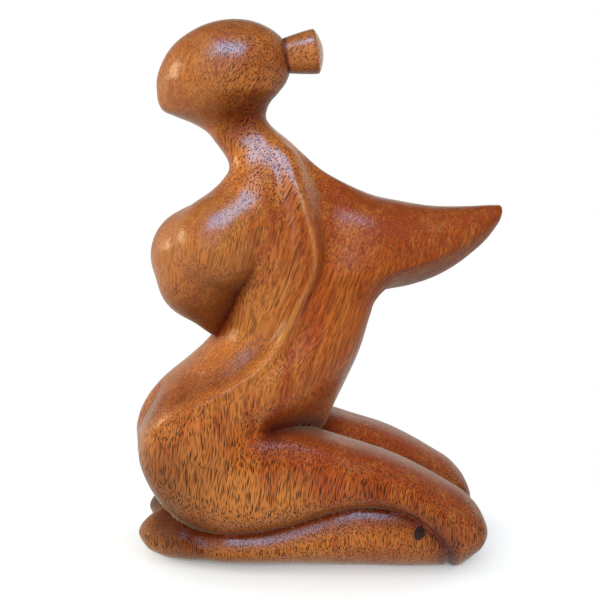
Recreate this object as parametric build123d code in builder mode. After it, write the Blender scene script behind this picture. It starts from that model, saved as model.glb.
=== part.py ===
from build123d import *

import math
import os

# A kneeling figure carved from one block of hardwood.  A hair bun is pegged
# to the back of the head with a dowel, and a round plug is let into one shin.
#
# Frame: millimetres, +Z up, origin on the floor under the middle of the
# figure.  The knees and the joined hands point to +X, the feet and the
# breasts to -X.  The carving is the same on both sides of the plane Y = 0.

# ---------------------------------------------------------------- dimensions

OVAL_POINTS = 12            # points on each oval section of a limb
ROUND = 2.0                 # exponent of a plain oval
FULL = 2.3                  # a fuller oval, as on the legs
ARM_BACK = 1.8              # the upper half of the arms, a little peaked
KEEL = 1.3                  # the lower half of the arms, drawn in to an edge

# Rows of a form that is stacked along X:
#   x, lowest z, highest z, middle y, half width
HEAD = [
    (-86.0, 253.5, 266.0, 0.0, 5.5),
    (-82.5, 250.8, 278.5, 0.0, 13.0),
    (-76.0, 247.8, 287.2, 0.0, 18.5),
    (-67.0, 243.5, 294.4, 0.0, 23.0),
    (-56.0, 240.5, 299.0, 0.0, 26.0),
    (-44.0, 239.5, 299.9, 0.0, 27.0),
    (-31.0, 243.0, 298.0, 0.0, 25.0),
    (-22.0, 257.0, 293.8, 0.0, 19.0),
    (-14.0, 272.0, 286.0, 0.0, 8.5),
]
ARMS = [
    (-22.0, 182.0, 239.0, 0.0, 14.0),
    (-8.0, 165.0, 228.5, 0.0, 23.0),
    (5.0, 155.0, 217.5, 0.0, 28.0),
    (20.0, 150.5, 209.5, 0.0, 30.0),
    (35.0, 150.5, 204.4, 0.0, 28.5),
    (50.0, 153.5, 201.2, 0.0, 25.0),
    (67.0, 159.5, 198.8, 0.0, 19.5),
    (84.0, 170.5, 198.8, 0.0, 13.5),
    (97.0, 183.5, 199.2, 0.0, 8.0),
    (104.5, 194.5, 198.8, 0.0, 3.0),
]
THIGH = [
    (-99.3, 55.0, 70.0, -22.0, 9.0),
    (-95.5, 44.0, 81.0, -21.5, 18.0),
    (-86.0, 32.5, 93.0, -22.0, 25.0),
    (-70.0, 22.5, 98.0, -22.5, 25.5),
    (-45.0, 19.0, 92.0, -23.0, 25.0),
    (-22.0, 21.0, 82.0, -25.0, 23.0),
    (4.0, 29.0, 75.5, -26.0, 22.0),
    (30.0, 35.0, 67.5, -26.5, 21.0),
    (52.0, 29.0, 57.5, -27.0, 20.0),
    (66.0, 11.0, 49.5, -27.0, 19.5),
    (78.0, -3.0, 42.5, -27.0, 19.0),
    (90.0, -3.0, 31.5, -26.5, 16.5),
    (96.3, 5.0, 19.0, -26.0, 8.0),
]
SHIN = [
    (-102.6, 7.0, 14.0, -18.0, 5.0),
    (-99.0, 2.5, 19.5, -18.5, 11.0),
    (-90.0, -1.5, 25.5, -19.0, 15.0),
    (-74.0, -2.5, 31.0, -20.5, 19.5),
    (-50.0, -2.5, 28.5, -23.0, 20.5),
    (-20.0, -2.5, 30.5, -25.5, 20.5),
    (10.0, -2.5, 39.5, -27.0, 20.5),
    (35.0, -2.5, 41.5, -28.0, 20.0),
    (58.0, -2.5, 35.0, -28.5, 18.5),
    (76.0, -2.5, 24.0, -27.5, 15.0),
]

# Rows of a form that is stacked along Z:
#   z, lowest x, highest x, middle y, half width
TRUNK = [
    (60.0, -98.0, 2.0, 0.0, 40.0),
    (70.0, -104.5, 5.5, 0.0, 42.5),
    (84.0, -99.5, 10.5, 0.0, 42.0),
    (98.0, -90.0, 16.5, 0.0, 40.0),
    (112.0, -74.5, 22.3, 0.0, 37.0),
    (126.0, -60.5, 28.0, 0.0, 35.0),
    (142.0, -58.0, 32.5, 0.0, 34.5),
    (160.0, -61.0, 31.0, 0.0, 35.0),
    (178.0, -59.0, 21.0, 0.0, 34.5),
    (196.0, -50.0, 9.0, 0.0, 31.0),
    (208.0, -46.0, -3.0, 0.0, 25.0),
    (220.0, -46.5, -11.5, 0.0, 19.0),
    (232.0, -54.0, -15.0, 0.0, 17.0),
    (243.0, -60.0, -24.5, 0.0, 16.5),
    (253.0, -58.0, -31.0, 0.0, 12.0),
]
BREAST = [
    (132.0, -64.0, -44.0, -18.0, 9.0),
    (138.0, -73.0, -40.0, -19.0, 17.0),
    (148.0, -81.5, -36.0, -19.5, 23.5),
    (160.0, -88.3, -34.0, -19.5, 27.5),
    (172.0, -90.0, -33.0, -19.5, 28.2),
    (184.0, -86.5, -32.0, -19.0, 26.5),
    (196.0, -75.0, -30.0, -16.5, 21.0),
    (206.0, -59.5, -28.0, -12.0, 14.0),
    (214.0, -48.0, -28.0, -7.0, 9.0),
]

BUN_SEAT = (-16.0, 0.0, 280.8)  # middle of the flat that the bun stands on
BUN_TILT = 8.4                  # the bun points this many degrees above level
BUN_BASE_RADIUS = 9.6
BUN_RIM_RADIUS = 12.0
BUN_LENGTH = 16.1               # from the seat to the rim
BUN_DOME = 4.0                  # the end swells this much past the rim
BUN_RIM_ROUND = 0.8

DOWEL_RADIUS = 4.0
DOWEL_IN_HEAD = 14.0
DOWEL_IN_BUN = 10.0
GLUE_ROOM = 1.0                 # each bore is this much deeper than the dowel

PLUG_X = 57.0
PLUG_Z = 25.5
PLUG_RADIUS = 4.0
PLUG_BOTTOM_Y = -38.0
OUTSIDE_Y = -60.0               # clear of the carving on the plug's side


# ------------------------------------------------------------------- helpers

def stretched(share, exponent):
    """share raised to 2 / exponent, with its own sign"""
    return math.copysign(abs(share) ** (2.0 / exponent), share)


def oval(low, high, middle_side, half_side, upper=ROUND, lower=ROUND):
    """points of a closed oval as (side, height), starting at its top

    An exponent above 2 fills the oval's corners.  One near 1 draws that half
    of it in towards an edge.
    """
    middle = (low + high) / 2
    half = (high - low) / 2
    points = []
    for step in range(OVAL_POINTS):
        turn = 2 * math.pi * step / OVAL_POINTS
        exponent = upper if math.cos(turn) > -0.01 else lower
        side = middle_side + half_side * stretched(math.sin(turn), exponent)
        height = middle + half * stretched(math.cos(turn), exponent)
        points.append((side, height))
    return points


def oval_face(plane, points):
    """the face inside one smooth closed curve through the points"""
    with BuildSketch(plane) as section:
        with BuildLine():
            Spline(*points, periodic=True)
        make_face()
    return section.sketch


def ovals_along_x(rows, upper=ROUND, lower=ROUND):
    """one oval across X for each row"""
    faces = []
    for x, low, high, middle_y, half_width in rows:
        points = oval(low, high, middle_y, half_width, upper, lower)
        faces.append(oval_face(Plane.YZ.offset(x), points))
    return faces


def ovals_along_z(rows):
    """one oval across Z for each row"""
    faces = []
    for z, low, high, middle_y, half_width in rows:
        points = [(x, y) for y, x in oval(low, high, middle_y, half_width)]
        faces.append(oval_face(Plane.XY.offset(z), points))
    return faces


# --------------------------------------------------- the forms of the carving

with BuildPart() as head:
    loft(sections=ovals_along_x(HEAD))

with BuildPart() as trunk:
    loft(sections=ovals_along_z(TRUNK))

with BuildPart() as arms:
    loft(sections=ovals_along_x(ARMS, ARM_BACK, KEEL))

with BuildPart() as breast:
    loft(sections=ovals_along_z(BREAST))

with BuildPart() as thigh:
    loft(sections=ovals_along_x(THIGH, FULL, FULL))

with BuildPart() as shin:
    loft(sections=ovals_along_x(SHIN, FULL, ROUND))

# ----------------------------------------------------- the bun and its dowel

# The bun's own plane: its origin is the middle of the seat, and its z axis
# points out of the head along the bun.
tilt = math.radians(BUN_TILT)
bun_axis = Vector(math.cos(tilt), 0, math.sin(tilt))
seat_plane = Plane(origin=BUN_SEAT, x_dir=(0, 1, 0), z_dir=bun_axis)
head_bore_floor = seat_plane.offset(-DOWEL_IN_HEAD - GLUE_ROOM)
dowel_end = seat_plane.offset(-DOWEL_IN_HEAD)

# Half of the bun's outline, in a plane that holds its axis: x runs out from
# the axis, y runs along it.
bun_outline_plane = Plane(
    origin=BUN_SEAT,
    x_dir=(-math.sin(tilt), 0, math.cos(tilt)),
    z_dir=(0, 1, 0),
)

dome_radius = (BUN_RIM_RADIUS ** 2 + BUN_DOME ** 2) / (2 * BUN_DOME)

with BuildPart() as hair_bun:
    with BuildSketch(bun_outline_plane) as bun_outline:
        with BuildLine():
            base = Line((0, 0), (BUN_BASE_RADIUS, 0))
            side = Line(base @ 1, (BUN_RIM_RADIUS, BUN_LENGTH))
            dome = RadiusArc(side @ 1, (0, BUN_LENGTH + BUN_DOME), -dome_radius)
            Line(dome @ 1, base @ 0)
        make_face()
        fillet(bun_outline.vertices().sort_by(Axis.X)[-1], BUN_RIM_ROUND)
    revolve(axis=Axis(BUN_SEAT, bun_axis))
    with BuildSketch(seat_plane):
        Circle(DOWEL_RADIUS)
    extrude(amount=DOWEL_IN_BUN + GLUE_ROOM, mode=Mode.SUBTRACT)

with BuildPart() as bun_dowel:
    with BuildSketch(dowel_end):
        Circle(DOWEL_RADIUS)
    extrude(amount=DOWEL_IN_HEAD + DOWEL_IN_BUN)

# ---------------------------------------------------------- the whole carving

with BuildPart() as carved_figure:
    add(trunk.part)
    add(head.part)
    add(arms.part)
    for limb in (thigh, shin, breast):
        add(limb.part)
        add(mirror(limb.part, about=Plane.XZ, mode=Mode.PRIVATE))
    split(bisect_by=Plane.XY, keep=Keep.TOP)
    with BuildSketch(seat_plane):
        Circle(BUN_RIM_RADIUS)
    extrude(amount=BUN_LENGTH, mode=Mode.SUBTRACT)
    with BuildSketch(head_bore_floor):
        Circle(DOWEL_RADIUS)
    extrude(amount=DOWEL_IN_HEAD + GLUE_ROOM, mode=Mode.SUBTRACT)

# The plug fills its round bore and follows the carving's own surface, so it
# is shaped from the carving before the bore is cut.
plug_plane = Plane(origin=(PLUG_X, PLUG_BOTTOM_Y, PLUG_Z), z_dir=(0, -1, 0))

with BuildPart() as knot_plug:
    with BuildSketch(plug_plane):
        Circle(PLUG_RADIUS)
    extrude(amount=PLUG_BOTTOM_Y - OUTSIDE_Y)
    add(carved_figure.part, mode=Mode.INTERSECT)

with carved_figure:
    with BuildSketch(plug_plane):
        Circle(PLUG_RADIUS)
    extrude(amount=PLUG_BOTTOM_Y - OUTSIDE_Y, mode=Mode.SUBTRACT)

# ------------------------------------------------------------------- writing

PIECES = {
    "carved_figure": carved_figure,
    "hair_bun": hair_bun,
    "bun_dowel": bun_dowel,
    "knot_plug": knot_plug,
}

os.makedirs("parts", exist_ok=True)
for name, piece in PIECES.items():
    piece.part.label = name
    export_step(piece.part, f"parts/{name}.step")
    print(f"{name}: {piece.part.volume:.0f} mm3, valid {piece.part.is_valid}")
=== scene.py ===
# %% [markdown]
# # A kneeling figure in polished hardwood
#
# The real object is one block of a heavy, reddish, open-grained tropical wood,
# cut with a chisel, sanded until no tool mark is left, oiled and polished.
# Only two things are not part of the block: the hair bun, which stands on a
# dowel at the back of the head, and a small dark plug in one shin.
#
# The imported CAD model is loaded first. It fixes the size and the place of
# everything.

import math
from functools import reduce
from types import SimpleNamespace

import bmesh
import bpy
import numpy as np
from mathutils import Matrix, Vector


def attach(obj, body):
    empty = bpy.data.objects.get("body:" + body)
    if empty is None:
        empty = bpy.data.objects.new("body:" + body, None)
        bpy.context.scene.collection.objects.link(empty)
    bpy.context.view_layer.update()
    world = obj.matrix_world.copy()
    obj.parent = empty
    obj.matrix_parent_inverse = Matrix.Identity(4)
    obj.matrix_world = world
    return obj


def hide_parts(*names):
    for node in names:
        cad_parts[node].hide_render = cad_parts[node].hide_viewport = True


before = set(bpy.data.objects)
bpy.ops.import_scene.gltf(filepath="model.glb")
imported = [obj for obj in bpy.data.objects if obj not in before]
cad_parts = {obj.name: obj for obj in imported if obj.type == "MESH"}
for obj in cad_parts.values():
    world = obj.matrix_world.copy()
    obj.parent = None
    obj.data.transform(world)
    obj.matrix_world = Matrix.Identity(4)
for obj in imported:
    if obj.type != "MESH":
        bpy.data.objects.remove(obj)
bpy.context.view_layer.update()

MM = 0.001  # every outline below is in millimetres


def in_mm(place):
    """A place in millimetres, to a tenth."""
    return np.round(np.array(place) / MM, 1)


# %% [markdown]
# ## The camera
#
# A figure of this size is looked at from about half a metre, a little from
# above and square to its side. A portrait lens at that distance keeps the near
# and the far knee different in size without bending the outline.

# %% Camera
CAMERA_SENSOR, CAMERA_LENS = 36.0, 53.5
CAMERA_TILT = 10.1           # degrees above level
CAMERA_REACH = 509.5         # from the lens to the point it looks at
CAMERA_TARGET = (-8.85, 0.0, 145.6)


def aim(thing, target):
    """Turn a camera or lamp so that it looks at the target, its own up kept upwards."""
    thing.rotation_mode = "QUATERNION"
    thing.rotation_quaternion = (Vector(target) - thing.location).to_track_quat("-Z", "Y")


tilt = math.radians(CAMERA_TILT)
target = Vector(CAMERA_TARGET) * MM
camera = bpy.data.objects.new("camera", bpy.data.cameras.new("camera"))
bpy.context.scene.collection.objects.link(camera)
camera.data.lens = CAMERA_LENS
camera.data.sensor_width = CAMERA_SENSOR
camera.location = target + Vector((0.0, -math.cos(tilt), math.sin(tilt))) * CAMERA_REACH * MM
aim(camera, target)
bpy.context.scene.camera = camera
print("camera stands at, mm:", in_mm(camera.location))

# %% [markdown]
# ## How a carved limb is described
#
# A carver draws two views on the block, one from the side and one from the
# front, saws to those lines and then rounds the corners off. The limbs here
# are described the same way: outlines of the upper edge, the lower edge and
# the half width, each a smooth curve through a few marks, and a fullness that
# says how much of the corner is left on.
#
# A skin lofted through such sections would do for one limb, but on a carving
# the limbs run into each other with soft hollows in some places and sharp cuts
# in others. So each limb is written as a *level*: a number at every point of
# space, negative in the wood, zero at its surface and about equal to the
# distance outside. Levels can be melted together with a hollow of any radius,
# and cut by other levels, before any skin is made.

# %% Curves through marks
def through(marks, at):
    """A smooth curve through (place, value) marks, read at any array of places.

    Between two marks the value is a cubic. Its slope at each mark is the mean
    of the slopes on both sides, each weighted by the length of the other span.
    """
    place, value = (np.array(column, float) for column in zip(*marks))
    span = np.diff(place)
    slope = np.diff(value) / span
    inner = (slope[:-1] * span[1:] + slope[1:] * span[:-1]) / (span[1:] + span[:-1])
    lean = np.concatenate([slope[:1], inner, slope[-1:]])
    at = np.clip(at, place[0], place[-1])
    i = np.clip(np.searchsorted(place, at, side="right") - 1, 0, len(span) - 1)
    w = (at - place[i]) / span[i]
    straight = value[i] * (1 + 2 * w) * (1 - w) ** 2 + value[i + 1] * w * w * (3 - 2 * w)
    return straight + span[i] * (lean[i] * w * (1 - w) ** 2 - lean[i + 1] * w * w * (1 - w))


def ease(share):
    """0 below 0, 1 above 1 and a smooth step between: 3 s^2 - 2 s^3."""
    share = np.clip(share, 0.0, 1.0)
    return share * share * (3 - 2 * share)


# %% Melting and cutting levels
def melt(a, b, radius):
    """The lower of two levels, with the inner corner filled over the radius."""
    share = np.maximum(radius - np.abs(a - b), 0.0) / radius
    return np.minimum(a, b) - share * share * radius / 4


def cut(a, b, radius):
    """Level a less everything inside level b, the edge eased by the radius."""
    return -melt(-a, b, radius)


# %% The level of a limb
THINNEST = 0.05              # no section's half size goes below this
SMALLEST = 0.001             # nor does the share that is left of it at the very end


def ball_end(at, start, end, start_round, end_round):
    """How far a section shrinks near the ends of a limb: a quarter ellipse at each end."""
    near_start = np.clip((start_round - (at - start)) / start_round, 0, 1)
    near_end = np.clip((end_round - (end - at)) / end_round, 0, 1)
    return np.sqrt(1 - near_start ** 2) * np.sqrt(1 - near_end ** 2)


def limb(shape, along, height, side):
    """The level of a limb whose oval sections stand across one direction.

    A section is the curve where |height / reach|^p + |side / half|^p = 1, with
    its own reach and power p above and below the widest line. The level is
    that sum's p-th root less 1, times the shorter half of the section.
    """
    start, end, start_round, end_round = shape["ends"]
    at = np.clip(along, start, end)
    shrink = np.maximum(ball_end(at, start, end, start_round, end_round), SMALLEST)
    upper, lower = through(shape["upper"], at), through(shape["lower"], at)
    widest = through(shape["widest"], at) if "widest" in shape else (upper + lower) / 2
    half = np.maximum(through(shape["half"], at) * shrink, THINNEST)
    middle = through(shape["middle"], at) if "middle" in shape else 0.0
    above = height > widest
    reach = np.maximum(np.where(above, upper - widest, widest - lower) * shrink, THINNEST)
    full_above, full_below = (through(marks, at) for marks in shape["fullness"])
    power = np.where(above, full_above, full_below)
    up, out = np.abs((height - widest) / reach), np.abs((side - middle) / half)
    oval = (up ** power + out ** power) ** (1 / power)
    level = (oval - 1) * np.minimum(np.maximum((upper - lower) / 2 * shrink, THINNEST), half)
    past = np.maximum(start - along, along - end)
    return np.where(past > 0, np.hypot(np.maximum(level, 0), np.maximum(past, 0)), level)


def even(value):
    """A fullness that is the same all along a limb."""
    return [(0.0, value), (1.0, value)]


# %% The level of two balls
def two_balls(x, y, z, one, two):
    """The level of the hull of two balls, each given as (x, y, z, radius).

    Near each end it is the distance to a centre less the radius. Between them
    it is the distance to the cone that touches both balls.
    """
    a, b = np.array(one[:3]), np.array(two[:3])
    ra, rb = one[3], two[3]
    axis = b - a
    length2 = float(axis @ axis)
    step = ra - rb
    flank2 = length2 - step * step
    px, py, pz = x - a[0], y - a[1], z - a[2]
    along = px * axis[0] + py * axis[1] + pz * axis[2]
    beyond = along - length2
    off2 = (px * length2 - axis[0] * along) ** 2 + (py * length2 - axis[1] * along) ** 2
    off2 = off2 + (pz * length2 - axis[2] * along) ** 2
    turn = np.sign(step) * step * step * off2
    along2, beyond2 = along * along * length2, beyond * beyond * length2
    level = (np.sqrt(off2 * flank2 / length2) + along * step) / length2 - ra
    before, past = np.sign(along) * flank2 * along2 < turn, np.sign(beyond) * flank2 * beyond2 > turn
    level = np.where(before, np.sqrt(off2 + along2) / length2 - ra, level)
    return np.where(past, np.sqrt(off2 + beyond2) / length2 - rb, level)


# %% [markdown]
# ## The limbs
#
# Each outline below is a list of (place, value) marks in millimetres. The
# trunk and the neck are stacked upwards, so their "upper" edge is the side
# towards the knees and their "lower" edge is the side towards the feet. The
# arms, thighs and shins are stacked along the figure, so theirs are up and
# down. The figure is the same on both sides, so only one side is described.

# %% Outlines of the limbs
TRUNK = {
    "ends": (56, 262, 10, 8),
    "lower": [
        (56, -92), (66, -102.5), (79, -102.2), (90, -96.6), (99.6, -88.4), (111, -74.6), (119, -65.8),
        (126, -59.8), (135, -57), (150, -58), (170, -57), (190, -52), (205, -47.5), (215, -46.2),
        (219.3, -46), (222.6, -47.4), (228.6, -51.2), (236, -56.8), (245, -61.5), (262, -66),
    ],
    "upper": [
        (56, 0), (70, 5.5), (81, 9.5), (100, 17.6), (122, 26.0), (134, 29.3), (146, 32.4), (152, 32.2),
        (165, 25), (180, 12), (195, 2), (205, -3), (216, -8), (230, -13), (238, -18.8), (244.5, -25.8),
        (249.6, -29), (262, -27),
    ],
    "widest": [
        (56, -50), (80, -57), (100, -49), (113, -36), (125, -19), (150, -12), (175, -15), (200, -20),
        (212, -22), (222, -26), (230, -30), (240, -40), (262, -46),
    ],
    "half": [
        (56, 39.6), (75, 45.4), (88, 46.3), (97, 45.8), (105, 44), (115, 41.2), (125, 38.4),
        (138, 36.4), (155, 36.5), (175, 36.8), (190, 35.5), (200, 33.5), (210, 30), (220, 25.5),
        (230, 20.8), (238, 17.2), (246, 15.5), (262, 17),
    ],
    "fullness": (
        [
            (56, 1.8), (88, 1.8), (103, 2.4), (115, 2.9), (140, 3.2), (160, 3.2), (180, 3.0),
            (235, 3.0), (250, 2.4),
        ],
        [(56, 2.0), (80, 2.3), (105, 2.3), (125, 1.9), (190, 1.9), (215, 2.5), (235, 2.5), (250, 2.1)],
    ),
}
ARMS = {
    "ends": (-24, 104.4, 26, 1.5),
    "upper": [
        (-24, 241), (-18.3, 237.5), (-8, 228.5), (2.2, 220.2), (14.5, 212.8), (30.3, 206), (46, 202.2),
        (69.6, 199.1), (85.4, 199.1), (97.2, 199.8), (104.4, 199.8),
    ],
    "lower": [
        (-24, 170), (0, 156), (20, 151), (34.8, 150.7), (40.7, 151.9), (55, 154.8), (70.6, 160.7),
        (86.2, 171.1), (97.6, 182.1), (104.4, 192.0),
    ],
    "widest": [
        (-24, 195), (0, 176), (20, 168), (33.6, 166), (50, 168.5), (67.2, 173.5), (86, 182.8),
        (99, 191.5), (104.4, 196.9),
    ],
    "half": [
        (-24, 22), (-8, 28), (5, 31), (20, 31.5), (34, 30.5), (50, 26), (67, 20), (86, 12.8), (99, 7.5),
        (104.4, 5),
    ],
    "fullness": (even(2.25), [(12, 2.4), (36, 1.4), (50, 1.25)]),
}
THIGH = {
    "ends": (-99.2, 97.0, 16, 6),
    "upper": [
        (-99.2, 80), (-85, 94), (-60, 92), (-42, 83), (-30, 78.8), (-20, 79.2), (-11, 78.6),
        (2.2, 75.3), (19.2, 70), (42.4, 62.4), (59.6, 54.7), (72.4, 47.4), (85.8, 38.3), (93, 30),
        (97, 25),
    ],
    "lower": [
        (-99.2, 46.5), (-90, 36), (-80, 27), (-70, 20.5), (-60, 17.5), (-45, 16.3), (-30, 17.6),
        (-14.6, 21.5), (0, 26.8), (12, 30.8), (24, 33.6), (36, 33.4), (45, 30.6), (54, 26), (60, 19.5),
        (66, 10), (72, 0), (78, -3.5), (85, 0.5), (90, 5), (97, 12),
    ],
    "middle": [(-99.2, -22), (-60, -24), (-30, -25), (0, -26), (40, -27), (70, -27), (97, -26)],
    "half": [
        (-99.2, 23.5), (-75, 23.5), (-40, 22.9), (0, 21.9), (30, 21.3), (60, 20), (80, 18.5),
        (90, 16.5), (97, 14),
    ],
    "fullness": (
        [(-90, 2.1), (-70, 2.6), (-35, 3.2), (0, 3.0), (35, 2.5), (60, 2.3)],
        [(-90, 2.0), (-70, 2.4), (-45, 2.6), (-15, 2.4), (30, 2.3), (60, 2.1), (72, 1.75), (90, 1.7)],
    ),
}
SHIN = {
    "ends": (-101.5, 80, 9, 8),
    "upper": [
        (-102, 19), (-98, 21.5), (-92, 25.5), (-84, 29.5), (-77, 31), (-70, 29.5), (-60, 28.5),
        (-47, 27.5), (-33, 28.5), (-14, 31.5), (0, 36), (12, 40), (24, 42), (36, 41.5), (48, 39),
        (58, 35), (70, 28), (80, 20),
    ],
    "lower": [
        (-102, 7.5), (-98, 5), (-92, 3), (-84, 0.6), (-75, -0.4), (-60, -0.7), (0, -1), (40, -1.5),
        (80, -2),
    ],
    "widest": [
        (-102, 14), (-95, 17.5), (-85, 17), (-77, 17.5), (-70, 15.5), (-60, 12.5), (-30, 13.5), (0, 18),
        (20, 22), (40, 23), (60, 19), (80, 13),
    ],
    "middle": [(-102, -19), (-85, -19), (-60, -22), (-30, -24.5), (0, -26.5), (40, -28.5), (80, -27.5)],
    "half": [
        (-102, 10), (-95, 14), (-85, 17.5), (-75, 20), (-60, 21.4), (0, 20.9), (40, 19.6), (65, 18),
        (80, 14),
    ],
    "fullness": (
        [
            (-102, 1.4), (-90, 1.25), (-76, 1.25), (-66, 1.5), (-50, 1.5), (-20, 1.5), (10, 1.6),
            (35, 1.8), (55, 2.2), (80, 2.4),
        ],
        [(-102, 1.9), (-85, 2.2), (-75, 2.1), (-60, 1.7)],
    ),
}

# %% [markdown]
# The head is an egg with a soft point at the chin. Its outline from the side
# is a radius for each direction round its middle, and its depth is a plain
# ellipse. The point of the chin fades into the round of the cheeks.
#
# The breasts are full and hang a little. Each is an egg whose long end is
# drawn up towards the collar, melted with the hulls of pairs of balls: in
# front of it, lower down, at the collar and at the fold below.

# %% Head and breasts
HEAD_MIDDLE = (-45.0, 268.0)
HEAD_DEPTH = 27.0
HEAD_RADIUS = [
    (-180, 42.0), (-170, 42.8), (-162, 43.4), (-157, 42.6), (-150, 38.6), (-140, 34.2), (-120, 31.0),
    (-90, 29.5), (-60, 27.8), (-45, 24.4), (-30, 23.0), (-15, 25.4), (0, 29.2), (20, 33.0), (40, 34.2),
    (60, 33.3), (90, 31.9), (110, 32.3), (135, 34.6), (150, 37.2), (165, 39.6), (180, 42.0),
]
CHEEK_RADIUS = [
    (-180, 40.5), (-165, 39.3), (-150, 36.0), (-135, 32.0), (-120, 28.8), (-90, 26.6), (-60, 25.0),
    (-45, 24.2), (-30, 24.8), (-15, 26.8), (0, 29.5), (20, 32.5), (40, 33.8), (60, 33.3), (90, 31.9),
    (110, 32.3), (135, 34.4), (150, 37.0), (165, 39.2), (180, 40.5),
]
CHIN_FADE = 11.0             # the chin's point is gone this far off the middle

BREAST_FRONT = (-65.0, -11.0, 173.0, 25.1)
BREAST_BALL = (-57.0, -19.5, 175.0, 22.5)
BREAST_EGG = (-55.8, -23.9, 177.8)
EGG_POINT = (0.636, 0.151, 0.757)    # the way its long end points, towards the collar
EGG_FACE = (-0.163, -0.932, 0.324)   # the way its flat side looks, up and outwards
EGG_HALVES = (36.0, 22.0, 25.0, 22.0)  # to the point, to the face, across and to the blunt end
BREAST_MELT = 3.0
BREAST_LOW = (-63.5, -15.4, 161.0, 22.4)
BREAST_COLLAR = (-37.2, -14.5, 204.3, 13.4)
BREAST_FOLD = (-56.0, -13.5, 133.0, 4.9)


def head_level(x, y, z):
    """An egg: the root of (radius / outline)^2 + (y / depth)^2, less 1, times its depth."""
    dx, dz = x - HEAD_MIDDLE[0], z - HEAD_MIDDLE[1]
    direction = np.degrees(np.arctan2(dz, dx))
    chin = np.exp(-(y / CHIN_FADE) ** 2)
    outline = through(CHEEK_RADIUS, direction) * (1 - chin) + through(HEAD_RADIUS, direction) * chin
    return (np.sqrt((np.hypot(dx, dz) / outline) ** 2 + (y / HEAD_DEPTH) ** 2) - 1) * HEAD_DEPTH


def egg(x, y, z):
    """The level of an egg: (u / length)^2 + (v / face)^2 + (w / across)^2 = 1, u along its point."""
    dx, dy, dz = (at - middle for at, middle in zip((x, y, z), BREAST_EGG))
    point, face = np.array(EGG_POINT), np.array(EGG_FACE)
    u, v, w = (dx * way[0] + dy * way[1] + dz * way[2] for way in (point, face, np.cross(point, face)))
    sharp, deep, wide, blunt = EGG_HALVES
    length = np.where(u > 0, sharp, blunt)
    return (np.sqrt((u / length) ** 2 + (v / deep) ** 2 + (w / wide) ** 2) - 1) * deep


def breast_level(x, y, z):
    """The egg melted with the hulls of five pairs of balls in front of it and below."""
    whole = egg(x, y, z)
    for one, two in (
        (BREAST_FRONT, BREAST_COLLAR), (BREAST_FRONT, BREAST_BALL), (BREAST_BALL, BREAST_LOW),
        (BREAST_FRONT, BREAST_LOW), (BREAST_LOW, BREAST_FOLD),
    ):
        whole = melt(whole, two_balls(x, y, z, one, two), BREAST_MELT)
    return whole


# %% [markdown]
# ## The line down the side
#
# A carved line runs from the nape down behind the shoulder, round the waist
# and over the hip. Above the waist the wood in front of it stands proud and
# the arm's root is hollowed behind it. Below the waist it is the hip that
# stands proud. The line is one curve, given as x for each height, and the
# hollows on its two sides are as deep as two more curves say.

# %% The carved line
LINE = [
    (64, -106), (73, -97.3), (82.7, -86), (90.2, -74.2), (96.8, -60.4), (102.6, -48.8), (109.5, -37),
    (117.8, -27.2), (127.5, -19.6), (138, -14), (150.9, -8.2), (161.8, -2.8), (171.5, -0.2),
    (180.6, -0.4), (191.3, -2.8), (204.4, -6.6), (216.4, -10.8), (229, -14), (238.1, -19.4), (248, -27),
]
HOLLOW_BEHIND = [
    (108, 0), (118, 0.8), (130, 2.0), (145, 3.1), (160, 4.8), (178, 5.7), (200, 5.3), (220, 4.2),
    (235, 3.0), (246, 1.6), (254, 0),
]
HOLLOW_BEFORE = [
    (58, 1.5), (66, 3.2), (80, 4.2), (98, 4.4), (112, 4.4), (126, 3.6), (140, 2.9), (160, 2.6),
    (180, 2.6), (205, 1.8), (225, 0.6), (246, 0),
]
FLANK_BEHIND = [(100, 7), (195, 7), (215, 10), (250, 13)]     # from the line to the bottom of the hollow
FLANK_BEFORE = [(64, 6), (90, 7), (112, 7.5), (130, 7.5), (165, 8.5), (200, 9), (250, 10)]
FADE_BEHIND = 18.0           # and from there this far back up
FADE_BEFORE = 10.0
LINE_ROLL = 0.8              # how far the line itself stands up


def line_depth(x, y, z):
    """How deep the wood is cut beside the carved line, the painted shade in its hollow and the painted
    highlight on its crest.

    Beside the line the depth rises in a smooth step over the flank and dies
    away as exp(-(distance / fade)^2). It is nothing at the middle plane.
    """
    place = through(LINE, z)
    lean = through(LINE, z + 0.5) - through(LINE, z - 0.5)
    off = (x - place) / np.sqrt(1 + lean * lean)
    flank_behind, flank = through(FLANK_BEHIND, z), through(FLANK_BEFORE, z)
    behind = ease(off / flank_behind) * np.exp(-(np.maximum(off - flank_behind, 0) / FADE_BEHIND) ** 2)
    before = ease(-off / flank) * np.exp(-(np.maximum(-off - flank, 0) / FADE_BEFORE) ** 2)
    roll = LINE_ROLL * np.exp(-((off + 0.9) / 2.5) ** 2) * ease((205 - z) / 30) * ease((z - 70) / 14)
    depth = through(HOLLOW_BEHIND, z) * behind + through(HOLLOW_BEFORE, z) * before - roll
    shade = before * ease((145 - z) / 25) * ease((z - 72) / 14)
    # painted highlight: the crest of the carved line is painted paler, where the light catches it
    painted_crest_light = np.exp(-((off + 1.0) / 1.6) ** 2) * ease((z - 108) / 12) * ease((224 - z) / 20)
    outer = ease((np.abs(y) - 4) / 12)
    return depth * outer, shade * outer, painted_crest_light * outer


# %% [markdown]
# ## The whole carving
#
# The limbs are melted together with the hollows that the chisel left: wide
# where the hip flows into the thigh or the shoulder into the arm, tight where
# the thigh folds on the shin or the breast rests on the ribs. Along the tight
# folds a fine cut is run in, as a carver does to set the line.
#
# Two more things are done to the level. The back of the head gets the small
# flat that the bun stands on, and the whole surface gets a very slight
# unevenness, a tenth of a millimetre or so, because it was sanded by hand.

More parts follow.
